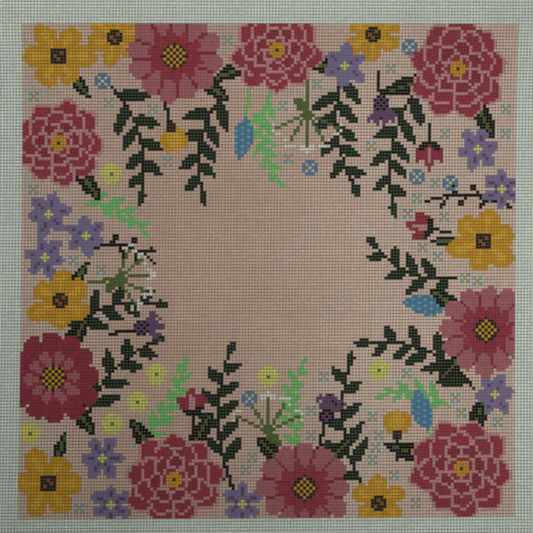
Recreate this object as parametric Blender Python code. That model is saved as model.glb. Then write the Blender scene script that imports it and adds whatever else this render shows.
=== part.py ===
"""A square needlepoint canvas panel, lying flat with its painted side up.

One cut piece of mono canvas: a painted square with a blank margin on every side.
Metres, +Z up. The origin is under the middle of the panel, and +Y is the top of the design.
"""

import bmesh
import bpy

# Driving dimensions
MESH_PITCH = 0.00254  # ten meshes to the inch
PAINTED_MESHES = 160  # along each side of the painted square
MARGIN_MESHES = 20  # blank on each side, a two-inch margin
THICKNESS = 0.0015  # two flattened threads, one over the other
POINTS_PER_SIDE = 24  # outline points along one cut edge

# How the cloth lies out of true, each at the sides or ends of the painted square
LEAN = 0.0016  # the top is pulled this far to the right, and the foot to the left
SHORT = 0.0013  # the height falls this far short of the width, above and below
TILT = 0.0005  # the right side sits this much higher, and the left lower
TAPER = 0.0008  # the right side is shorter by this much, above and below
WAIST = 0.0016  # the left and right edges draw in at half height
WAIST_HIGH = 0.4  # share by which the draw-in is stronger above than below
WIDE_LEFT = 0.010  # meshes on the left are wider than those on the right by this share
CLOSE_MIDDLE = 0.006  # meshes at half height are closer by this share

HALF_PAINTED = PAINTED_MESHES * MESH_PITCH / 2
EDGE = 1 + 2 * MARGIN_MESHES / PAINTED_MESHES  # the cut edge, in halves of the painted square


def clamp(value):
    return max(-1.0, min(1.0, value))


def lie(across, up):
    """Where a point of the cloth lies, from its place in halves of the painted square."""
    inner_across = clamp(across)
    inner_up = clamp(up)
    spread = WIDE_LEFT * (1 - inner_across**2)
    draw_in = WAIST * (1 - inner_up**4) * (1 + WAIST_HIGH * inner_up)
    closing = CLOSE_MIDDLE * (inner_up**3 - inner_up)
    x = HALF_PAINTED * (across + spread) + LEAN * up - draw_in * inner_across
    y = (HALF_PAINTED - SHORT) * (up + closing) + TILT * across - TAPER * inner_across * inner_up
    return x, y


def cut_outline():
    """The cut edge, anticlockwise from the lower left corner, centred on the origin."""
    corners = [(-EDGE, -EDGE), (EDGE, -EDGE), (EDGE, EDGE), (-EDGE, EDGE)]
    points = []
    for start, end in zip(corners, corners[1:] + corners[:1]):
        for step in range(POINTS_PER_SIDE):
            share = step / POINTS_PER_SIDE
            across = start[0] + (end[0] - start[0]) * share
            up = start[1] + (end[1] - start[1]) * share
            points.append(lie(across, up))
    middle_x = (min(x for x, _ in points) + max(x for x, _ in points)) / 2
    middle_y = (min(y for _, y in points) + max(y for _, y in points)) / 2
    return [(x - middle_x, y - middle_y) for x, y in points]


def principled(name, colour, roughness):
    material = bpy.data.materials.new(name)
    material.use_nodes = True
    shader = material.node_tree.nodes["Principled BSDF"]
    shader.inputs["Base Color"].default_value = (*colour, 1)
    shader.inputs["Roughness"].default_value = roughness
    shader.inputs["Metallic"].default_value = 0
    return material


def canvas_sheet():
    """The whole panel as one thin flat sheet that rests on its underside."""
    sheet = bmesh.new()
    underside = sheet.faces.new([sheet.verts.new((x, y, 0)) for x, y in cut_outline()])
    raised = bmesh.ops.extrude_face_region(sheet, geom=[underside])["geom"]
    top = [item for item in raised if isinstance(item, bmesh.types.BMVert)]
    bmesh.ops.translate(sheet, vec=(0, 0, THICKNESS), verts=top)
    bmesh.ops.recalc_face_normals(sheet, faces=sheet.faces[:])
    mesh = bpy.data.meshes.new("canvas")
    sheet.to_mesh(mesh)
    sheet.free()
    mesh.materials.append(principled("painted_canvas", (0.50, 0.37, 0.32), 0.85))
    canvas = bpy.data.objects.new("canvas", mesh)
    bpy.context.scene.collection.objects.link(canvas)
    return canvas


for thing in list(bpy.data.objects):
    bpy.data.objects.remove(thing)
canvas_sheet()
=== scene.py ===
import math

import bpy
import numpy as np
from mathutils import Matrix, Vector


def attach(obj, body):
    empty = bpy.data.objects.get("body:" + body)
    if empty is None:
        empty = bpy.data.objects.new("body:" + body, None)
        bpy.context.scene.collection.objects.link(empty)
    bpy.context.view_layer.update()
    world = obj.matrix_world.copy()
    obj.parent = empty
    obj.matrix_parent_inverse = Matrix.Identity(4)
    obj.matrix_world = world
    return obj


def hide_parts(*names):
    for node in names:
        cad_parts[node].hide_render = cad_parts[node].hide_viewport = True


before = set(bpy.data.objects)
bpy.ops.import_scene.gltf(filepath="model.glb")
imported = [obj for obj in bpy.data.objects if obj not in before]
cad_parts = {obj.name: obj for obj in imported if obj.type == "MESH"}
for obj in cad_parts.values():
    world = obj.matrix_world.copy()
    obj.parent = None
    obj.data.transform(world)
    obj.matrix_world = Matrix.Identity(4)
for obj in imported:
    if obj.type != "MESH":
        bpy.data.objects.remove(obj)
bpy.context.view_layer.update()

# the cloth, in metres and meshes
canvas = {
    "pitch": 0.00254,
    "paintedMeshes": 160,
    "marginMeshes": 20,
    "acrossCuts": (-100, -34, 34, 100),  # where its blocks meet, in meshes from the middle
    "upCuts": (-100, 0, 100),
    "threadWidth": 0.00127,
    "threadHeight": 0.00075,
    "warpShare": 0.88,  # wefts are thicker than warps
    "weftShare": 1.12,
    "thickness": 0.0015,
    "uneven": 0.00006,  # how far threads wander sideways
    "slub": 0.07,  # share by which threads change in width
    "wavesPerMetre": 60.0,  # how often both change along a thread
    "wavesApart": 7.3,  # how far apart two threads lie in that noise
    "longDrift": 2.0,  # changes along a thread, against those from thread to thread
    "longSlub": 1.5,
    "cutSpread": 0.0009,  # how unevenly the ends are cut
    "cutShort": 0.4,  # share of that by which an end may fall short
    "seed": 5,
}
# how the cloth lies out of true, as the CAD sheet does, in metres and in shares of half the painted square
outOfTrue = {
    "lean": 0.0016,  # columns lean to the right towards the top
    "short": 0.0013,  # rows lie closer than columns
    "tilt": 0.0005,  # rows rise to the right
    "taper": 0.0008,  # and the cloth is less high there
    "waist": 0.0016,  # the sides are drawn in half-way up
    "waistHigh": 0.4,  # and more so above that
    "wideLeft": 0.010,  # share by which columns stand wider on the left
    "closeMiddle": 0.006,  # share by which rows lie closer in the middle
    "edgeSteps": 24,  # outline points on a side
}
meshes = canvas["paintedMeshes"]
allMeshes = meshes + 2 * canvas["marginMeshes"]
pitch = canvas["pitch"]
warpNumbers = 1000  # added to a warp's number, so that warp and weft draw their own chances


def linear(red, green, blue):
    # sRGB bytes to the linear values that shaders take
    shares = [value / 255 for value in (red, green, blue)]
    return [s / 12.92 if s <= 0.04045 else ((s + 0.055) / 1.055) ** 2.4 for s in shares]


# the painted chart has one colour a mesh and is counted from the top left
paints = {
    "ground": (209, 173, 152),
    "petalLine": (206, 149, 147),
    "raspberry": (164, 50, 71),
    "crimson": (152, 43, 63),
    "mauve": (182, 106, 114),
    "ochre": (212, 158, 34),
    "gold": (224, 176, 54),
    "brown": (46, 36, 24),
    "rust": (168, 104, 28),
    "lavender": (135, 124, 163),
    "violet": (106, 74, 114),
    "night": (18, 14, 24),
    "black": (4, 4, 3),
    "deepGreen": (6, 41, 22),
    "leafBlack": (4, 16, 8),
    "olive": (86, 112, 50),
    "mint": (124, 203, 120),
    "blue": (84, 134, 170),
    "turquoise": (96, 182, 194),
    "primrose": (218, 215, 113),
    "cream": (228, 224, 208),
}
paintNames = list(paints)
chart = np.full((meshes, meshes), paintNames.index("ground"))
rows, columns = np.mgrid[0:meshes, 0:meshes]
stemWidth = 1.1  # of painted lines, in meshes
rayWidth = 1.0


def dab(where, paint):
    chart[where] = paintNames.index(paint)


def reach(column, row):
    return np.hypot(columns - column, rows - row)


def way(heading):
    # headings are in turns, clockwise from the top
    return math.sin(2 * math.pi * heading), -math.cos(2 * math.pi * heading)


def headingTo(start, end):
    return math.atan2(end[0] - start[0], start[1] - end[1]) / (2 * math.pi)


def around(column, row, petals, turn):
    # 0 on a petal's middle line, 1 between two petals
    angle = np.arctan2(columns - column, row - rows) / (2 * math.pi)
    return np.abs((angle * petals + turn) % 1 - 0.5) * 2


def wobble(column, row, amount):
    # a hand-drawn unevenness, its own for each bloom
    angle = np.arctan2(columns - column, row - rows)
    swell = np.sin(2 * angle + column) + np.sin(3 * angle + row)
    return 1 + amount * (swell + 0.7 * np.sin(5 * angle + column))


def stroke(points, width, paint):
    for (column, row), (nextColumn, nextRow) in zip(points, points[1:]):
        across, down = nextColumn - column, nextRow - row
        longSquared = max(across ** 2 + down ** 2, 1e-9)
        along = ((columns - column) * across + (rows - row) * down) / longSquared
        along = np.clip(along, 0, 1)
        dab(reach(column + along * across, row + along * down) <= width / 2, paint)


def bend(start, end, sag, steps=24):
    # an arc that bulges to the right of its way
    across, down = end[0] - start[0], end[1] - start[1]
    length = math.hypot(across, down)
    points = []
    for step in range(steps + 1):
        share = step / steps
        out = 4 * sag * share * (1 - share) / length
        points.append((start[0] + across * share - down * out, start[1] + down * share + across * out))
    return points


def leaf(column, row, heading, length, width, paint):
    # a pointed oval that starts at its stalk and is widest just before its middle
    ahead, down = way(heading)
    along = (columns - column) * ahead + (rows - row) * down
    aside = np.abs((rows - row) * ahead - (columns - column) * down)
    forward, blunt, overlap = 0.8, 0.7, 0.2
    share = np.clip(along / length, 0, 1)
    half = width / 2 * np.sin(math.pi * share ** forward) ** blunt
    dab((along >= -overlap) & (along <= length) & (aside <= half), paint)


def branch(start, end, sag, length, width, paint, stem, spread=0.14):
    # leaves on alternate sides of an arc, smaller towards its tip
    perWidth, firstLeaf, leafed = 0.95, 0.1, 0.88
    points = bend(start, end, sag)
    stroke(points, stemWidth, stem)
    last = len(points) - 1
    leaves = round(perWidth * math.dist(start, end) / width)
    for number in range(leaves):
        share = firstLeaf + leafed * number / leaves
        place = points[round(share * last)]
        heading = headingTo(place, points[round(share * last) + 1])
        side = 1 if number % 2 else -1
        smaller, narrower = 1 - 0.45 * share, 1 - 0.2 * share
        leaf(*place, heading + side * spread, length * smaller, width * narrower, paint)
    leaf(*points[-1], headingTo(points[-2], points[-1]), length * 0.5, width * 0.7, paint)


def dahlia(column, row, radius, turn):
    # rings of pointed petals with pale rims, each given as size, petals and paint
    rings = ((1.0, 9, "raspberry"), (0.78, 8, "raspberry"), (0.54, 7, "crimson"), (0.31, 5, "raspberry"))
    sizes = [size for size, petals, paint in rings] + [0.2]
    ringTurn, notched, rim = 0.43, 0.80, 1.0
    distance = reach(column, row)
    uneven = wobble(column, row, 0.035)
    for number, (size, petals, paint) in enumerate(rings):
        aside = around(column, row, petals, turn + ringTurn * number)
        edge = radius * size * (notched + 0.20 * (1 - aside) ** 0.65) * uneven
        dab(distance <= edge, "petalLine")
        dab(distance <= edge - rim, paint)
        # lines between the petals, one mesh wide at any distance
        lineShare = petals / (2 * math.pi * np.maximum(distance, 1))
        inner = radius * sizes[number + 1] * notched
        dab((aside > 1 - lineShare) & (distance > inner) & (distance < edge - 0.8), "petalLine")
    dab(distance <= radius * 0.15, "ochre")
    dab(distance <= radius * 0.05, "brown")


def gerbera(column, row, radius, turn, outer="mauve", inner="raspberry", line="crimson"):
    # long blunt petals round a smaller ring and a dotted eye
    petals = 12
    distance = reach(column, row)
    uneven = wobble(column, row, 0.03)
    aside = around(column, row, petals, turn)
    edge = radius * (0.76 + 0.24 * np.sqrt(np.maximum(1 - aside ** 2.4, 0))) * uneven
    lineShare = petals / (2 * math.pi * np.maximum(distance, 1))
    dab(distance <= edge, outer)
    dab((distance <= edge) & (aside > 1 - lineShare), line)
    aside = around(column, row, petals - 2, turn + 0.5)
    edge = radius * (0.42 + 0.18 * (1 - aside) ** 0.6) * uneven
    dab(distance <= edge, inner)
    dab((distance <= edge) & (aside > 1 - lineShare), line)
    dab(distance <= radius * 0.27, "brown")
    dab((distance <= radius * 0.24) & ((columns + rows) % 2 == 0), "ochre")


def darkGerbera(column, row, radius, turn):
    gerbera(column, row, radius, turn, "crimson", "mauve", "raspberry")


def buttercup(column, row, radius, turn, petals=6):
    # broad petals, streaked, round a dark button
    distance = reach(column, row)
    aside = around(column, row, petals, turn)
    edge = radius * (0.58 + 0.42 * np.sqrt(np.maximum(1 - aside ** 1.6, 0)))
    edge = edge * wobble(column, row, 0.06)
    dab(distance <= edge, "ochre")
    dab((aside < 0.3) & (distance < edge * 0.8), "gold")
    dab(distance <= radius * 0.27, "brown")
    dab((distance <= radius * 0.16) & ((columns + 2 * rows) % 3 == 0), "rust")


def star(column, row, radius, turn, petals=6):
    # six petals with a short dark line on each, round a pale eye
    distance = reach(column, row)
    aside = around(column, row, petals, turn)
    edge = radius * (0.42 + 0.58 * (1 - aside) ** 0.5) * wobble(column, row, 0.05)
    dab(distance <= edge, "lavender")
    dab((distance <= edge * 0.7) & (aside < 0.16) & (distance > 2.2), "violet")
    dab(distance <= 1.3, "primrose")


def stalk(column, row, heading, length, paint):
    ahead, down = way(heading)
    stroke([(column, row), (column - ahead * length, row - down * length)], stemWidth, paint)


def tulip(column, row, size, heading):
    # three upright petals on a dark foot
    stalk(column, row, heading, size * 1.2, "leafBlack")
    for turn in (-0.07, 0.07):
        leaf(column, row, heading + turn, size * 1.2, size * 0.75, "ochre")
    leaf(column, row, heading, size * 1.25, size * 0.62, "gold")
    dab(reach(column, row) <= size * 0.25, "brown")


def bud(column, row, size, heading):
    # a half-open bloom seen from the side, in its dark cup
    ahead, down = way(heading)
    stalk(column, row, heading, size, "leafBlack")
    for turn in (-0.1, 0.1):
        leaf(column, row, heading + turn, size * 1.25, size * 0.72, "crimson")
    leaf(column, row, heading, size * 1.5, size * 0.8, "raspberry")
    fold = (column + ahead * size * 0.2, row + down * size * 0.2)
    leaf(*fold, heading, size * 0.9, size * 0.34, "petalLine")
    for turn in (-0.17, 0.17):
        leaf(column, row, heading + turn, size * 0.7, size * 0.4, "leafBlack")


def thistle(column, row, size, heading):
    # a fan of florets on a dark cup
    stalk(column, row, heading, size * 2.4, "leafBlack")
    for fan in range(-3, 4):
        stalk(column, row, heading + 0.5 + 0.04 * fan, size * 1.6, "violet")
    dab(reach(column, row) <= size * 0.55, "night")
    dab((reach(column, row) <= size * 0.5) & ((columns + rows) % 2 == 0), "violet")


def muscari(column, row, size, heading):
    # a spike of small bells on a fresh stalk
    stalk(column, row, heading, size * 1.6, "mint")
    leaf(column, row, heading, size * 1.5, size * 0.72, "blue")
    bells = (columns + 2 * rows) % 4 == 0  # a slanting lattice of single meshes
    ahead, down = way(heading)
    middle = (column + ahead * size * 0.7, row + down * size * 0.7)
    dab(bells & (reach(*middle) < size * 0.8) & (chart == paintNames.index("blue")), "turquoise")


def umbel(column, row, size, heading):
    # rays from one point, each with a knot of cream florets
    rayTurn, floretOut = 0.085, 1.6
    stalk(column, row, heading, size * 0.9, "olive")
    for ray in range(-2, 3):
        ahead, down = way(heading + rayTurn * ray)
        tip = (column + ahead * size, row + down * size)
        stroke([(column, row), tip], rayWidth, "olive")
        for turn in (-0.2, 0.0, 0.2):
            ahead, down = way(heading + rayTurn * ray + turn)
            dab(reach(tip[0] + floretOut * ahead, tip[1] + floretOut * down) <= 0.8, "cream")
    leaf(column, row, heading + 0.38, size * 0.6, size * 0.3, "olive")


def primrose(column, row):
    # five round petals
    for petal in range(5):
        ahead, down = way(petal / 5)
        dab(reach(column + 2 * ahead, row + 2 * down) <= 1.45, "primrose")
    dab(reach(column, row) <= 0.8, "olive")


def twig(start, end, sag, shoots=5):
    # a bare stem whose short side shoots end in buds
    shootTurn, shootLength = 0.13, 3.6
    points = bend(start, end, sag)
    stroke(points, stemWidth, "black")
    for number in range(shoots):
        place = round((0.25 + 0.65 * number / shoots) * (len(points) - 1))
        side = shootTurn if number % 2 else -shootTurn
        ahead, down = way(headingTo(points[place], points[place + 1]) + side)
        tip = (points[place][0] + shootLength * ahead, points[place][1] + shootLength * down)
        stroke([points[place], tip], rayWidth, "black")
        dab(reach(*tip) <= 1.1, "black")


def collar(column, row, radius, headings):
    # broad dark leaves that show round a bloom, each with a paler rib
    for heading in headings:
        ahead, down = way(heading)
        place = (column + ahead * radius * 0.6, row + down * radius * 0.6)
        ribEnd = (place[0] + ahead * radius * 0.8, place[1] + down * radius * 0.8)
        leaf(*place, heading, radius * 0.95, radius * 0.34, "leafBlack")
        stroke([place, ribEnd], 0.9, "olive")


def saltire(column, row):
    # the smallest flower, four meshes set cornerwise round one
    dab((abs(columns - column) == 1) & (abs(rows - row) == 1), "turquoise")
    dab((columns == column) & (rows == row), "ochre")


def speedwell(column, row):
    # four heart-shaped petals round a pale eye
    aside, off = abs(columns - column), abs(rows - row)
    near, far = np.minimum(aside, off), np.maximum(aside, off)
    dab((far == 2) & (near <= 1) | (far == 1) & (near == 0), "blue")
    dab(far == 0, "primrose")


# small flowers on the open ground, in meshes
strewn = {
    "bareHalfWidth": 44,  # the middle that they keep off
    "bareHalfHeight": 34,
    "edge": 3,
    "primroses": 10,
    "primroseGap": 4,
    "saltires": 40,
    "saltireGap": 2,
    "seed": 11,
}


def sprinkle(paintOne, count, clear, random):
    # each stands at least that many meshes clear of any other motif
    middle = (meshes - 1) / 2
    across, down = (columns - middle) / strewn["bareHalfWidth"], (rows - middle) / strewn["bareHalfHeight"]
    border = across ** 4 + down ** 4 > 1
    border &= np.minimum(columns, rows) >= strewn["edge"]
    border &= np.maximum(columns, rows) < meshes - strewn["edge"]
    for number in range(count):
        taken = chart != paintNames.index("ground")
        for axis in (0, 1):
            taken = np.any([np.roll(taken, step, axis) for step in range(-clear, clear + 1)], axis=0)
        free = np.argwhere(border & ~taken)
        if len(free) == 0:
            break
        row, column = free[random.integers(len(free))]
        paintOne(column, row)


# each list gives columns and rows of the chart
laurels = [  # start, end, sag, leaf length, leaf width
    ((28, 20), (38, 53), -4, 11, 4.0),
    ((64, 22), (57, 53), 4, 11, 4.0),
    ((103, 14), (106, 51), 4, 11, 4.0),
    ((127, 20), (119, 57), 4, 11, 4.0),
    ((140, 82), (114, 72), -4, 10, 3.8),
    ((146, 118), (112, 103), 5, 11, 4.0),
    ((110, 150), (105, 111), -4, 11, 4.0),
    ((68, 150), (66, 107), -4, 11, 4.0),
    ((20, 130), (41, 103), -4, 11, 4.0),
    ((14, 100), (42, 90), -4, 10, 3.8),
]
willows = [  # as above
    ((79, 22), (82, 50), 4, 7, 2.6),
    ((20, 58), (38, 66), -3, 7, 2.6),
    ((36, 136), (52, 110), 3, 7, 2.6),
    ((91, 138), (90, 110), -4, 7, 2.6),
    ((138, 124), (117, 120), 3, 7, 2.6),
]
twigs = [  # start, end, sag
    ((22, 72), (42, 77), -3),
    ((158, 59), (130, 57), 3),
]
speedwells = [(25, 18), (124, 7), (92, 46), (127, 49), (138, 51), (73, 121)]
smallHeads = [  # kind, column, row, size, heading
    (tulip, 47, 33, 7, 0.46),
    (muscari, 71, 30, 9, 0.52),
    (umbel, 91, 28, 11, 0.5),
    (thistle, 115, 25, 4.4, 0.48),
    (bud, 131, 38, 6, 0.5),
    (umbel, 30, 82, 10, 0.23),
    (thistle, 38, 98, 4.2, 0.22),
    (bud, 55, 126, 6, 0.98),
    (umbel, 79, 132, 11, 0.0),
    (thistle, 98, 127, 4.4, 0.04),
    (tulip, 121, 133, 7, 0.0),
    (muscari, 131, 131, 9, 0.95),
    (muscari, 136, 92, 9, 0.78),
    (bud, 132, 66, 6, 0.78),
]
blooms = [  # kind, column, row, radius, turn, headings of the dark leaves round it
    (buttercup, 11, 10, 11, 0.0, (0.4,)),
    (buttercup, 29, 4, 9, 0.3, ()),
    (gerbera, 48, 10, 15, 0.2, (0.36,)),
    (dahlia, 81, 8, 15, 0.0, (0.3, 0.68)),
    (buttercup, 112, 3, 9, 0.5, ()),
    (dahlia, 140, 14, 17, 0.4, (0.42, 0.7)),
    (star, 103, 13, 7.5, 0.4, ()),
    (dahlia, 11, 38, 15, 0.2, (0.4,)),
    (star, 8, 61, 7.5, 0.2, ()),
    (star, 20, 68, 7.0, 0.6, ()),
    (star, 7, 75, 7.0, 0.8, ()),
    (buttercup, 12, 89, 10, 0.5, (0.1,)),
    (darkGerbera, 10, 114, 15, 0.6, (0.08, 0.4)),
    (buttercup, 9, 148, 11, 0.0, (0.05,)),
    (star, 26, 140, 7.5, 0.0, ()),
    (star, 29, 155, 7.0, 0.5, ()),
    (dahlia, 49, 147, 16, 0.5, (0.08, 0.9)),
    (star, 71, 155, 7.0, 0.5, ()),
    (gerbera, 91, 150, 15, 0.5, (0.88, 0.12)),
    (buttercup, 115, 155, 9, 0.5, ()),
    (dahlia, 142, 144, 17, 0.1, (0.05, 0.8)),
    (star, 147, 40, 7.5, 0.2, ()),
    (star, 155, 53, 7.0, 0.5, ()),
    (buttercup, 149, 70, 11, 0.3, (0.75,)),
    (gerbera, 150, 99, 15, 0.4, (0.62, 0.85)),
    (star, 153, 120, 7.0, 0.1, ()),
]


def paintChart():
    for start, end, sag, length, width in laurels:
        branch(start, end, sag, length, width, "deepGreen", "leafBlack")
    for start, end, sag, length, width in willows:
        branch(start, end, sag, length, width, "mint", "mint", spread=0.11)
    for start, end, sag in twigs:
        twig(start, end, sag)
    for kind, column, row, size, heading in smallHeads:
        kind(column, row, size, heading)
    for kind, column, row, radius, turn, headings in blooms:
        collar(column, row, radius, headings)
    for kind, column, row, radius, turn, headings in blooms:
        kind(column, row, radius, turn)
    for column, row in speedwells:
        speedwell(column, row)
    random = np.random.default_rng(strewn["seed"])
    sprinkle(primrose, strewn["primroses"], strewn["primroseGap"], random)
    sprinkle(saltire, strewn["saltires"], strewn["saltireGap"], random)


paintChart()
print("chart painted")


def put(tree, kind, inputs=None, **settings):
    # adds a node, and links or sets its inputs by name or number
    node = tree.nodes.new(kind)
    for name, value in settings.items():
        setattr(node, name, value)
    for name, value in (inputs or {}).items():
        if isinstance(value, bpy.types.NodeSocket):
            tree.links.new(value, node.inputs[name])
        else:
            node.inputs[name].default_value = value
    return node


def sums(tree, operation, *values):
    return put(tree, "ShaderNodeMath", dict(enumerate(values)), operation=operation).outputs[0]


# how the threads and their paint look
finish = {
    "bareCotton": (224, 230, 220),
    "undersidePaint": 0.75,  # how much of the paint came through
    "missedPaint": 0.015,  # how much cotton shows through the front's paint
    "washes": ("ground", "cream"),  # paints laid thinly
    "thinWash": 0.16,  # how much more cotton shows through those
    "thinnest": 0.6,  # the most that shows anywhere
    "washSpread": 0.03,  # how far that varies in patches
    "washPatches": ((14, 0.6), (24, 0.6), (48, 0.6)),  # how many across the cloth, and their share
    "washSlope": 0.07,  # and from the middle to each side, thinner to the right
    "washSteep": 2.8,  # which takes up the cloth's width divided by this
    "washEdge": 0.2,  # and thinner again at the left edge
    "washEdgeMeshes": 42,
    "washLift": 0.09,  # how much lighter they are on the right
    "crossingSpread": 0.045,  # how far tone varies, by crossing, thread and patch
    "threadSpread": 0.016,
    "patchSpread": 0.02,
    "tonePatches": ((9, 0.6), (26, 0.5)),
    "toneRange": (0.75, 1.2),
    "grooveShadeAndMottle": 0.16,  # how dark the painted shade in the grooves and the darker thin places are
    "grooveShadeAndMottleRange": (0.3, 0.65),
    "strandsPerMetre": 1700,
    "strandAngle": 0.8,  # in radians
    "fibresPerMetre": 5200,
    "fibreStretch": 0.25,  # less than 1 draws them out
    "patchesPerMetre": 420.0,
    "relief": 0.8,  # of strands and fibres
    "reliefDepth": 0.00016,
    "bareRoughness": 0.92,
    "paintRoughness": 0.72,
    "grooveRoughness": 0.12,  # how much rougher grooves are than ridges
    "shine": 0.12,
}


def yarnGroup():
    # twisted strands and loose fibres, on a vector whose X runs along the thread
    tree = bpy.data.node_groups.new("yarnTwist", "ShaderNodeTree")
    face = tree.interface
    face.new_socket("Along And Across", in_out="INPUT", socket_type="NodeSocketVector")
    face.new_socket("Strands Per Metre", in_out="INPUT", socket_type="NodeSocketFloat")
    face.new_socket("Fibres Per Metre", in_out="INPUT", socket_type="NodeSocketFloat")
    face.new_socket("Height", in_out="OUTPUT", socket_type="NodeSocketFloat")
    face.new_socket("GrooveShadeAndMottle", in_out="OUTPUT", socket_type="NodeSocketFloat")
    inside = tree.nodes.new("NodeGroupInput").outputs
    outside = tree.nodes.new("NodeGroupOutput")
    slant = put(tree, "ShaderNodeVectorRotate", {
        "Vector": inside[0], "Angle": finish["strandAngle"],
    }, rotation_type="Z_AXIS").outputs[0]
    # a wave texture has 20 / (2 pi) bands to a unit of its scale
    bands = sums(tree, "MULTIPLY", inside[1], math.pi / 10)
    twist = put(tree, "ShaderNodeTexWave", {
        "Vector": slant, "Scale": bands, "Distortion": 2.0, "Detail": 1.0,
    }, bands_direction="X").outputs["Fac"]
    drawn = put(tree, "ShaderNodeVectorMath", {
        0: slant, 1: (1.0, finish["fibreStretch"], 1.0),
    }, operation="MULTIPLY").outputs[0]
    fibre = put(tree, "ShaderNodeTexNoise", {
        "Vector": drawn, "Scale": inside[2], "Detail": 3.0,
    }).outputs["Fac"]
    patch = put(tree, "ShaderNodeTexNoise", {
        "Vector": inside[0], "Scale": finish["patchesPerMetre"], "Detail": 3.0,
    }).outputs["Fac"]
    height = sums(tree, "MULTIPLY_ADD", fibre, 0.5, sums(tree, "MULTIPLY", twist, 0.5))
    tree.links.new(height, outside.inputs["Height"])
    # painted shade in the grooves between strands, and thin patches that are darker
    grooveShadeAndMottle = sums(tree, "MULTIPLY_ADD", patch, 0.5, sums(tree, "MULTIPLY", height, 0.5))
    tree.links.new(grooveShadeAndMottle, outside.inputs["GrooveShadeAndMottle"])
    return tree


def threadMaterial():
    material = bpy.data.materials.new("paintedCanvasThread")
    material.use_nodes = True
    tree = material.node_tree
    shader = tree.nodes["Principled BSDF"]
    colour = put(tree, "ShaderNodeAttribute", attribute_name="paint").outputs["Color"]
    cover, tone, isWarp = [put(tree, "ShaderNodeAttribute", attribute_name=name).outputs["Fac"]
                           for name in ("cover", "tone", "isWarp")]
    place = put(tree, "ShaderNodeTexCoord").outputs["Object"]
    turned = put(tree, "ShaderNodeVectorRotate", {
        "Vector": place, "Angle": math.pi / 2,
    }, rotation_type="Z_AXIS").outputs[0]
    laid = put(tree, "ShaderNodeMix", {"Factor": isWarp, 4: place, 5: turned}, data_type="VECTOR")
    yarn = put(tree, "ShaderNodeGroup", node_tree=yarnGroup())
    tree.links.new(laid.outputs[1], yarn.inputs[0])
    yarn.inputs["Strands Per Metre"].default_value = finish["strandsPerMetre"]
    yarn.inputs["Fibres Per Metre"].default_value = finish["fibresPerMetre"]
    darkest, lightest = finish["grooveShadeAndMottleRange"]
    # painted shade in the grooves, with the darker thin patches
    shade = put(tree, "ShaderNodeMapRange", {
        "Value": yarn.outputs["GrooveShadeAndMottle"], 1: darkest, 2: lightest, 3: 1 - finish["grooveShadeAndMottle"], 4: 1.0,
    }).outputs[0]
    mixed = put(tree, "ShaderNodeMix", {
        "Factor": cover, 6: (*linear(*finish["bareCotton"]), 1), 7: colour,
    }, data_type="RGBA").outputs[2]
    base = put(tree, "ShaderNodeVectorMath", {
        0: mixed, "Scale": sums(tree, "MULTIPLY", shade, tone),
    }, operation="SCALE")
    tree.links.new(base.outputs[0], shader.inputs["Base Color"])
    dull = put(tree, "ShaderNodeMapRange", {
        "Value": cover, 3: finish["bareRoughness"], 4: finish["paintRoughness"],
    }).outputs[0]
    groove = finish["grooveRoughness"]
    rough = sums(tree, "MULTIPLY_ADD", yarn.outputs["Height"], -groove, sums(tree, "ADD", dull, groove / 2))
    tree.links.new(rough, shader.inputs["Roughness"])
    bump = put(tree, "ShaderNodeBump", {
        "Strength": finish["relief"], "Distance": finish["reliefDepth"], "Height": yarn.outputs["Height"],
    })
    tree.links.new(bump.outputs[0], shader.inputs["Normal"])
    shader.inputs["Specular IOR Level"].default_value = finish["shine"]
    return material


def threadSet(tree, given, isWarp):
    # straight threads of one direction, with a point at each crossing and half-way between
    alongCount, acrossCount = ("Rows", "Columns") if isWarp else ("Columns", "Rows")
    alongFirst, acrossFirst = ("First Row", "First Column") if isWarp else ("First Column", "First Row")

    def vector(along, across):
        parts = {0: across, 1: along} if isWarp else {0: along, 1: across}
        return put(tree, "ShaderNodeCombineXYZ", parts).outputs[0]

    halfPitch = sums(tree, "MULTIPLY", given["Pitch"], 0.5)
    points = sums(tree, "MULTIPLY_ADD", given[alongCount], 2.0, 1.0)
    thread = put(tree, "GeometryNodeMeshLine", {
        "Count": points,
        "Start Location": vector(sums(tree, "MULTIPLY", given[alongFirst], given["Pitch"]), 0.0),
        "Offset": vector(halfPitch, 0.0),
    }, mode="OFFSET")
    curve = put(tree, "GeometryNodeMeshToCurve", {"Mesh": thread.outputs[0]})
    firstAcross = sums(tree, "MULTIPLY", sums(tree, "ADD", given[acrossFirst], 0.5), given["Pitch"])
    feet = put(tree, "GeometryNodeMeshLine", {
        "Count": given[acrossCount],
        "Start Location": vector(0.0, firstAcross),
        "Offset": vector(0.0, given["Pitch"]),
    }, mode="OFFSET")
    laid = put(tree, "GeometryNodeInstanceOnPoints", {
        "Points": feet.outputs[0], "Instance": curve.outputs[0],
    })
    number = sums(tree, "ADD", put(tree, "GeometryNodeInputIndex").outputs[0], given[acrossFirst])
    number = sums(tree, "ADD", number, float(warpNumbers * isWarp))
    named = put(tree, "GeometryNodeStoreNamedAttribute", {
        "Geometry": laid.outputs[0], "Name": "threadNumber", "Value": number,
    }, data_type="INT", domain="INSTANCE")
    solid = put(tree, "GeometryNodeRealizeInstances", {"Geometry": named.outputs[0]})
    marked = put(tree, "GeometryNodeStoreNamedAttribute", {
        "Geometry": solid.outputs[0], "Name": "isWarp", "Value": float(isWarp),
    }, data_type="FLOAT", domain="POINT")
    return marked.outputs[0]


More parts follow.
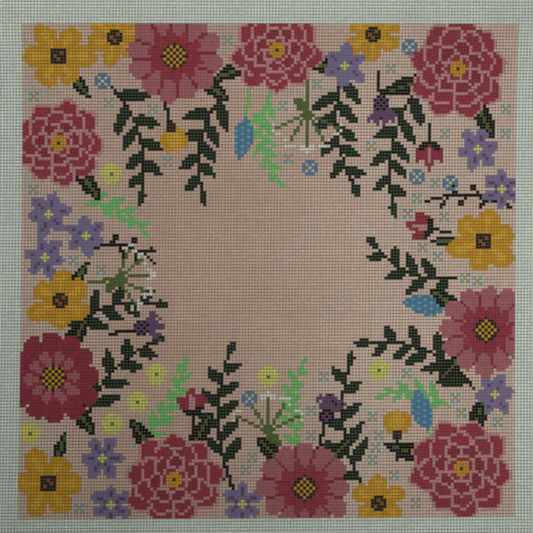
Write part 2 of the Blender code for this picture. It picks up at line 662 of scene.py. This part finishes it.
def weaveTree():
    tree = bpy.data.node_groups.new("canvasWeave", "GeometryNodeTree")
    face = tree.interface
    for name in ("Columns", "Rows", "First Column", "First Row", "Seed"):
        face.new_socket(name, in_out="INPUT", socket_type="NodeSocketInt")
    for name in (
        "Pitch", "Thickness", "Thread Width", "Thread Height", "Warp Share", "Weft Share",
        "Uneven", "Slub", "Cut Spread", "Half Size",
    ):
        face.new_socket(name, in_out="INPUT", socket_type="NodeSocketFloat")
    face.new_socket("Material", in_out="INPUT", socket_type="NodeSocketMaterial")
    face.new_socket("Geometry", in_out="OUTPUT", socket_type="NodeSocketGeometry")
    given = tree.nodes.new("NodeGroupInput").outputs
    both = put(tree, "GeometryNodeJoinGeometry")
    for isWarp in (True, False):
        tree.links.new(threadSet(tree, given, isWarp), both.inputs[0])

    position = put(tree, "GeometryNodeInputPosition").outputs[0]
    place = put(tree, "ShaderNodeSeparateXYZ", {0: position}).outputs
    warp, number = [
        put(tree, "GeometryNodeInputNamedAttribute", {"Name": name}, data_type=kind).outputs[0]
        for name, kind in (("isWarp", "FLOAT"), ("threadNumber", "INT"))
    ]
    weft = sums(tree, "SUBTRACT", 1.0, warp)

    # over one and under one: threads swap at each crossing
    waves = []
    for axis in (0, 1):
        turns = sums(tree, "DIVIDE", place[axis], given["Pitch"])
        waves.append(sums(tree, "SINE", sums(tree, "MULTIPLY", turns, math.pi)))
    checker = sums(tree, "MULTIPLY", waves[0], waves[1])
    swing = sums(tree, "MULTIPLY", checker, sums(tree, "MULTIPLY_ADD", warp, -2.0, 1.0))
    depth = sums(tree, "MULTIPLY", sums(tree, "SUBTRACT", given["Thickness"], given["Thread Height"]), 0.5)
    # a three-sided profile has its middle a third of the way up
    middle = sums(tree, "MULTIPLY_ADD", given["Thread Height"], 1 / 3, depth)
    height = sums(tree, "MULTIPLY_ADD", swing, depth, middle)

    def chance(low, high, draw):
        # a thread's own number between two others, and another one for each draw
        seed = sums(tree, "ADD", given["Seed"], float(draw))
        return put(tree, "FunctionNodeRandomValue", {
            2: low, 3: high, "ID": number, "Seed": seed,
        }, data_type="FLOAT").outputs[1]

    wander = put(tree, "ShaderNodeTexNoise", {
        "W": sums(tree, "MULTIPLY", number, canvas["wavesApart"]), "Scale": canvas["wavesPerMetre"],
        "Detail": 1.0, "Vector": position,
    }, noise_dimensions="4D").outputs["Fac"]
    driftDraw, slubDraw, cutDraw = 0, 3, 9
    longDrift, longSlub = canvas["longDrift"], canvas["longSlub"]
    drift = sums(tree, "MULTIPLY_ADD", wander, 2 * longDrift, -longDrift)
    drift = sums(tree, "ADD", chance(-1.0, 1.0, driftDraw), drift)
    sideways = sums(tree, "MULTIPLY", drift, given["Uneven"])

    # the cut ends stand out unevenly
    nearEdge = sums(tree, "SUBTRACT", given["Half Size"], sums(tree, "MULTIPLY", given["Pitch"], 0.25))

    def cutEnd(axis):
        atEdge = sums(tree, "GREATER_THAN", sums(tree, "ABSOLUTE", place[axis]), nearEdge)
        outwards = sums(tree, "MULTIPLY", sums(tree, "SIGN", place[axis]), atEdge)
        length = sums(tree, "MULTIPLY", chance(-canvas["cutShort"], 1.0, cutDraw), given["Cut Spread"])
        return sums(tree, "MULTIPLY", outwards, length)

    across = sums(tree, "MULTIPLY_ADD", sideways, warp, sums(tree, "MULTIPLY", cutEnd(0), weft))
    up = sums(tree, "MULTIPLY_ADD", sideways, weft, sums(tree, "MULTIPLY", cutEnd(1), warp))
    shift = put(tree, "ShaderNodeCombineXYZ", {0: across, 1: up, 2: height})
    woven = put(tree, "GeometryNodeSetPosition", {"Geometry": both.outputs[0], "Offset": shift.outputs[0]})
    upright = put(tree, "GeometryNodeSetCurveNormal", {"Curve": woven.outputs[0]}, mode="Z_UP")
    thick = sums(tree, "MULTIPLY_ADD", wander, -2 * longSlub, longSlub)
    thick = sums(tree, "ADD", chance(-1.0, 1.0, slubDraw), thick)
    thinner = sums(tree, "SUBTRACT", given["Warp Share"], given["Weft Share"])
    share = sums(tree, "MULTIPLY_ADD", warp, thinner, given["Weft Share"])
    scale = sums(tree, "MULTIPLY_ADD", thick, sums(tree, "MULTIPLY", given["Slub"], 0.5), share)

    ring = put(tree, "GeometryNodeCurvePrimitiveCircle", {"Resolution": 3, "Radius": 1.0}, mode="RADIUS")
    sides = put(tree, "GeometryNodeStoreNamedAttribute", {
        "Geometry": ring.outputs[0], "Name": "side", "Value": put(tree, "GeometryNodeInputIndex").outputs[0],
    }, data_type="INT", domain="POINT")
    # three points on a circle span 1.732 across and 1.5 up
    flat = put(tree, "ShaderNodeCombineXYZ", {
        0: sums(tree, "DIVIDE", given["Thread Height"], 1.5),
        1: sums(tree, "DIVIDE", given["Thread Width"], math.sqrt(3)),
        2: 1.0,
    })
    profile = put(tree, "GeometryNodeTransform", {"Geometry": sides.outputs[0], "Scale": flat.outputs[0]})
    upwards = put(tree, "GeometryNodeTransform", {
        "Geometry": profile.outputs[0], "Rotation": (0, 0, -math.pi / 2),
    })
    tube = put(tree, "GeometryNodeCurveToMesh", {
        "Curve": upright.outputs[0], "Profile Curve": upwards.outputs[0], "Scale": scale, "Fill Caps": True,
    })
    smooth = put(tree, "GeometryNodeSetShadeSmooth", {"Geometry": tube.outputs[0]})
    real = put(tree, "GeometryNodeRealizeInstances", {"Geometry": smooth.outputs[0]})
    dressed = put(tree, "GeometryNodeSetMaterial", {
        "Geometry": real.outputs[0], "Material": given["Material"],
    })
    tree.links.new(dressed.outputs[0], tree.nodes.new("NodeGroupOutput").inputs[0])
    return tree


def lie(x, y):
    # where a point of the flat weave lies, as the CAD outline has it
    half = meshes * pitch / 2
    across, up = x / half, y / half
    innerAcross, innerUp = np.clip(across, -1, 1), np.clip(up, -1, 1)
    spread = outOfTrue["wideLeft"] * (1 - innerAcross ** 2)
    drawIn = outOfTrue["waist"] * (1 - innerUp ** 4) * (1 + outOfTrue["waistHigh"] * innerUp)
    closing = outOfTrue["closeMiddle"] * (innerUp ** 3 - innerUp)
    lieX = half * (across + spread) + outOfTrue["lean"] * up - drawIn * innerAcross
    lieY = (half - outOfTrue["short"]) * (up + closing) + outOfTrue["tilt"] * across
    return lieX, lieY - outOfTrue["taper"] * innerAcross * innerUp


def outlineMiddle():
    # of the box round the outline, which lies at the origin
    half = allMeshes * pitch / 2
    side = half * (np.arange(outOfTrue["edgeSteps"]) / outOfTrue["edgeSteps"] * 2 - 1)
    edge = np.full_like(side, half)
    x, y = lie(np.concatenate([side, edge, -side, -edge]), np.concatenate([-edge, side, edge, -side]))
    return (x.min() + x.max()) / 2, (y.min() + y.max()) / 2


def readMesh(mesh, name, kind, width=1, dtype=np.float32):
    values = np.empty(len(mesh.attributes[name].data) * width, dtype)
    mesh.attributes[name].data.foreach_get(kind, values)
    return values.reshape(-1, width) if width > 1 else values


def patches(random, across):
    # smooth hills of about unit height, so many across the cloth
    coarse = random.normal(0, 1, (across, across))
    place = np.linspace(0, across - 1, allMeshes)
    low = np.minimum(place.astype(int), across - 2)
    share = place - low
    share = share * share * (3 - 2 * share)
    along = coarse[low] * (1 - share)[:, None] + coarse[low + 1] * share[:, None]
    return along[:, low] * (1 - share) + along[:, low + 1] * share


def toneTable():
    # tones of all crossings, for the wefts and then for the warps
    random = np.random.default_rng(canvas["seed"])
    tones = 1 + finish["crossingSpread"] * random.normal(0, 1, (2, allMeshes, allMeshes))
    tones[0] += finish["threadSpread"] * random.normal(0, 1, (allMeshes, 1))
    tones[1] += finish["threadSpread"] * random.normal(0, 1, (1, allMeshes))
    hills = sum(height * patches(random, across) for across, height in finish["tonePatches"])
    return np.clip(tones + finish["patchSpread"] * hills, *finish["toneRange"])


def washTable(slope):
    # how thinly the washes lie at each crossing
    random = np.random.default_rng(canvas["seed"] + 2)
    hills = sum(height * patches(random, across) for across, height in finish["washPatches"])
    edge = np.clip(1 - (np.arange(allMeshes) - canvas["marginMeshes"]) / finish["washEdgeMeshes"], 0, 1)
    thin = finish["thinWash"] + finish["washSpread"] * hills
    return np.clip(thin + finish["washSlope"] * slope + finish["washEdge"] * edge, 0, finish["thinnest"])


# -1 over the left third of the cloth, 1 over the right third
slope = np.clip(np.linspace(-finish["washSteep"], finish["washSteep"], allMeshes), -1, 1)
tones = toneTable()
thin = washTable(slope)
missed = np.random.default_rng(canvas["seed"] + 1).random((2, allMeshes, allMeshes)) ** 3


def paintThreads(mesh):
    # a face takes the paint of its crossing, and the underside only some of it
    faces = len(mesh.polygons)
    centres = np.empty(faces * 3, np.float32)
    normals = np.empty(faces * 3, np.float32)
    starts = np.empty(faces, np.int32)
    corners = np.empty(len(mesh.loops), np.int32)
    mesh.polygons.foreach_get("center", centres)
    mesh.polygons.foreach_get("normal", normals)
    mesh.polygons.foreach_get("loop_start", starts)
    mesh.loops.foreach_get("vertex_index", corners)
    warp = (readMesh(mesh, "isWarp", "value")[corners[starts]] > 0.5).astype(int)
    centres, normals = centres.reshape(-1, 3), normals.reshape(-1, 3)
    across = np.floor(centres[:, 0] / pitch).astype(int) + allMeshes // 2
    down = allMeshes // 2 - 1 - np.floor(centres[:, 1] / pitch).astype(int)
    across, down = np.clip(across, 0, allMeshes - 1), np.clip(down, 0, allMeshes - 1)
    column, row = across - canvas["marginMeshes"], down - canvas["marginMeshes"]
    inside = (column >= 0) & (column < meshes) & (row >= 0) & (row < meshes)
    table = np.array([linear(*paints[name]) for name in paintNames])
    colours = np.ones((faces, 4), np.float32)
    colours[inside, :3] = table[chart[row[inside], column[inside]]]
    isWash = np.isin(paintNames, finish["washes"])
    pale = np.zeros(faces, bool)
    pale[inside] = isWash[chart[row[inside], column[inside]]]
    front = 1 - finish["missedPaint"] * missed[warp, down, across] - thin[down, across] * pale
    cover = inside * np.where(normals[:, 2] > -0.5, front, finish["undersidePaint"])
    mesh.attributes.new("paint", "FLOAT_COLOR", "FACE").data.foreach_set("color", colours.ravel())
    mesh.attributes.new("cover", "FLOAT", "FACE").data.foreach_set("value", cover.astype(np.float32))
    lift = 1 + finish["washLift"] * np.maximum(slope, 0)
    tone = tones[warp, down, across] * np.where(pale, lift[across], 1)
    mesh.attributes.new("tone", "FLOAT", "FACE").data.foreach_set("value", tone.astype(np.float32))


def sharpenUndersides(mesh):
    # rounded above and flat below, with an edge between
    ends = np.empty(len(mesh.edges) * 2, np.int32)
    mesh.edges.foreach_get("vertices", ends)
    side = readMesh(mesh, "side", "value", dtype=np.int32)[ends].reshape(-1, 2)
    sharp = readMesh(mesh, "sharp_edge", "value", dtype=bool)
    sharp |= (side[:, 0] == side[:, 1]) & (side[:, 0] > 0)
    mesh.attributes["sharp_edge"].data.foreach_set("value", sharp)


def mapThreads(mesh, firstColumn, columnCount, firstRow, rowCount):
    # each thread is a strip of the map: wefts fill its left half, warps its right half, and cut ends its foot
    foot = 0.015
    capAcross, capUp = np.array([0.1, 0.9, 0.5]), np.array([0.1, 0.1, 0.8])
    corners = len(mesh.loops)
    vertexOf = np.empty(corners, np.int32)
    mesh.loops.foreach_get("vertex_index", vertexOf)
    starts = np.empty(len(mesh.polygons), np.int32)
    totals = np.empty(len(mesh.polygons), np.int32)
    mesh.polygons.foreach_get("loop_start", starts)
    mesh.polygons.foreach_get("loop_total", totals)
    places = readMesh(mesh, "position", "vector", 3)
    side = readMesh(mesh, "side", "value", dtype=np.int32)[vertexOf]
    number = readMesh(mesh, "threadNumber", "value", dtype=np.int32)[vertexOf]
    warp = readMesh(mesh, "isWarp", "value")[vertexOf] > 0.5
    faceOf = np.repeat(np.arange(len(starts)), totals)
    firstSide = np.minimum.reduceat(side, starts)[faceOf]
    lastSide = np.maximum.reduceat(side, starts)[faceOf]
    closing = (side == 0) & (lastSide == 2) & (firstSide == 0)
    ringPlace = side + 3 * closing  # the third face closes the ring
    place = places[vertexOf]
    along = np.where(warp, place[:, 1] / pitch - firstRow, place[:, 0] / pitch - firstColumn)
    length = np.where(warp, rowCount, columnCount)
    width = np.where(warp, columnCount, rowCount)
    strip = number - np.where(warp, firstColumn + warpNumbers, firstRow)
    u = 0.5 * warp + 0.5 * np.clip(along / length, 0, 1)
    v = foot + (1 - foot) * (strip + ringPlace / 3) / width
    caps = totals[faceOf] == 3
    order = np.cumsum(totals == 3)[faceOf] - 1
    u[caps] = ((order + capAcross[side]) / max((totals == 3).sum(), 1))[caps]
    v[caps] = (foot * capUp[side])[caps]
    mapped = mesh.uv_layers.new(name="OFBake")
    mapped.uv.foreach_set("vector", np.stack([u, v], 1).astype(np.float32).ravel())


weave = weaveTree()
thread = threadMaterial()
middleX, middleY = outlineMiddle()


def weaveBlock(name, firstColumn, columnCount, firstRow, rowCount):
    # one block of the cloth, counted in meshes from the middle of the panel
    maker = bpy.data.objects.new(name + "Maker", bpy.data.meshes.new(name + "Maker"))
    bpy.context.scene.collection.objects.link(maker)
    modifier = maker.modifiers.new("weave", "NODES")
    modifier.node_group = weave
    values = {
        "Columns": columnCount, "Rows": rowCount, "First Column": firstColumn, "First Row": firstRow,
        "Seed": canvas["seed"], "Pitch": pitch, "Thickness": canvas["thickness"],
        "Thread Width": canvas["threadWidth"], "Thread Height": canvas["threadHeight"],
        "Warp Share": canvas["warpShare"], "Weft Share": canvas["weftShare"],
        "Uneven": canvas["uneven"], "Slub": canvas["slub"], "Cut Spread": canvas["cutSpread"],
        "Half Size": allMeshes * pitch / 2, "Material": thread,
    }
    for socket in weave.interface.items_tree:
        if socket.name in values:
            modifier[socket.identifier] = values[socket.name]
    graph = bpy.context.evaluated_depsgraph_get()
    seen = maker.evaluated_get(graph)
    mesh = bpy.data.meshes.new_from_object(seen, preserve_all_data_layers=True, depsgraph=graph)
    bpy.data.objects.remove(maker)
    mesh.name = name
    paintThreads(mesh)
    sharpenUndersides(mesh)
    mapThreads(mesh, firstColumn, columnCount, firstRow, rowCount)
    places = readMesh(mesh, "position", "vector", 3)
    places[:, 0], places[:, 1] = lie(places[:, 0], places[:, 1])
    places[:, :2] -= (middleX, middleY)
    mesh.vertices.foreach_set("co", places.ravel())
    mesh.update()
    block = bpy.data.objects.new(name, mesh)
    bpy.context.scene.collection.objects.link(block)
    return block


blocks = []
acrossCuts, upCuts = canvas["acrossCuts"], canvas["upCuts"]
for upName, firstRow, endRow in zip(("Lower", "Upper"), upCuts, upCuts[1:]):
    for acrossName, firstColumn, endColumn in zip(("Left", "Middle", "Right"), acrossCuts, acrossCuts[1:]):
        name = "canvas" + upName + acrossName
        columnCount, rowCount = endColumn - firstColumn, endRow - firstRow
        block = weaveBlock(name, firstColumn, columnCount, firstRow, rowCount)
        blocks.append((block, columnCount, rowCount))
print("canvas woven in", len(blocks), "blocks")

# floor, light and camera
studio = {
    "floorColour": (190, 191, 186),
    "paintedShadeUnderMargins": (127, 137, 125),  # painted shade on the floor under the margins, seen through the bare meshes
    "paintedShadeUnderPaint": (120, 104, 92),  # painted shade under the painted square, seen through its meshes, with painted warm light as if bounced off the paint round them
    "shadedHalf": 0.2475,  # just inside the cloth's edge
    "shadeBlur": 0.002,
    "clouds": 0.96,  # how dark the floor's soft clouds are
    "cloudsPerMetre": 6.0,
    "floorRoughness": 0.9,
    "floorHalf": 3.0,
    "floorDrop": 0.0004,
    "skyColour": (0.96, 1.0, 0.98),
    "skyLight": 0.34,
    "lampRadius": 0.2,
    "lamps": {  # power, cone in degrees, place and the spot it faces
        "window": (30.4, 33, (0.19, -0.4, 1.31), (0.22, -0.02, 0.0)),
        "doorway": (35.4, 63, (-0.26, 0.7, 1.33), (-0.33, 0.4, 0.0)),
    },
    "cameraHeight": 1.6,
    "sensorWidth": 36,  # in millimetres
    "paintedWidth": 497.6,  # of the painted square, in pixels of the frame
    "frameWidth": 533,
    "offCentre": (-0.0034, 0.0035),  # from the painted square's middle
}


def floorMaterial():
    material = bpy.data.materials.new("paleTable")
    material.use_nodes = True
    tree = material.node_tree
    shader = tree.nodes["Principled BSDF"]
    place = put(tree, "ShaderNodeTexCoord").outputs["Object"]
    cloud = put(tree, "ShaderNodeTexNoise", {
        "Vector": place, "Scale": studio["cloudsPerMetre"], "Detail": 4.0,
    })
    parts = put(tree, "ShaderNodeSeparateXYZ", {0: place}).outputs
    outwards = sums(tree, "MAXIMUM", sums(tree, "ABSOLUTE", parts[0]), sums(tree, "ABSOLUTE", parts[1]))
    # painted shade where the cloth lies on the floor, first under the paint and then under the margins
    base = (*linear(*studio["paintedShadeUnderPaint"]), 1)
    blur = studio["shadeBlur"]
    for half, name in ((meshes * pitch / 2, "paintedShadeUnderMargins"), (studio["shadedHalf"], "floorColour")):
        beside = put(tree, "ShaderNodeMapRange", {
            "Value": outwards, 1: half - blur, 2: half + blur,
        }).outputs[0]
        base = put(tree, "ShaderNodeMix", {
            "Factor": beside, 6: base, 7: (*linear(*studio[name]), 1),
        }, data_type="RGBA").outputs[2]
    shade = put(tree, "ShaderNodeMapRange", {"Value": cloud.outputs["Fac"], 3: studio["clouds"], 4: 1.0})
    tone = put(tree, "ShaderNodeVectorMath", {0: base, "Scale": shade.outputs[0]}, operation="SCALE")
    tree.links.new(tone.outputs[0], shader.inputs["Base Color"])
    shader.inputs["Roughness"].default_value = studio["floorRoughness"]
    return material


def buildFloor():
    mesh = bpy.data.meshes.new("floor")
    half, height = studio["floorHalf"], -studio["floorDrop"]
    corners = [(-half, -half, height), (half, -half, height), (half, half, height), (-half, half, height)]
    mesh.from_pydata(corners, [], [(0, 1, 2, 3)])
    mesh.materials.append(floorMaterial())
    floor = bpy.data.objects.new("floor", mesh)
    bpy.context.scene.collection.objects.link(floor)


def buildLight():
    world = bpy.data.worlds.new("studioLight")
    world.use_nodes = True
    back = world.node_tree.nodes["Background"]
    back.inputs["Color"].default_value = (*studio["skyColour"], 1)
    back.inputs["Strength"].default_value = studio["skyLight"]
    bpy.context.scene.world = world
    for name, (power, cone, place, faced) in studio["lamps"].items():
        lamp = bpy.data.lights.new(name, "SPOT")
        lamp.energy = power
        lamp.spot_size = math.radians(cone)
        lamp.spot_blend = 1.0
        lamp.shadow_soft_size = studio["lampRadius"]
        light = bpy.data.objects.new(name, lamp)
        light.location = place
        light.rotation_euler = (Vector(faced) - light.location).to_track_quat("-Z", "Y").to_euler()
        light.visible_camera = False
        bpy.context.scene.collection.objects.link(light)


def buildCamera():
    lens = bpy.data.cameras.new("camera")
    wide = meshes * pitch * studio["frameWidth"] / studio["paintedWidth"]
    lens.sensor_width = studio["sensorWidth"]
    lens.lens = studio["sensorWidth"] * studio["cameraHeight"] / wide
    camera = bpy.data.objects.new("camera", lens)
    offX, offY = studio["offCentre"]
    x, y = lie(np.array([0.0]), np.array([0.0]))
    squareX, squareY = x[0] - middleX, y[0] - middleY
    camera.location = (squareX + offX, squareY + offY, studio["cameraHeight"])
    bpy.context.scene.collection.objects.link(camera)
    bpy.context.scene.camera = camera


buildFloor()
buildLight()
buildCamera()
bpy.context.scene.view_settings.view_transform = "Standard"
print("floor, light and camera set")

for block, columnCount, rowCount in blocks:
    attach(block, "root")
    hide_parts("canvas")
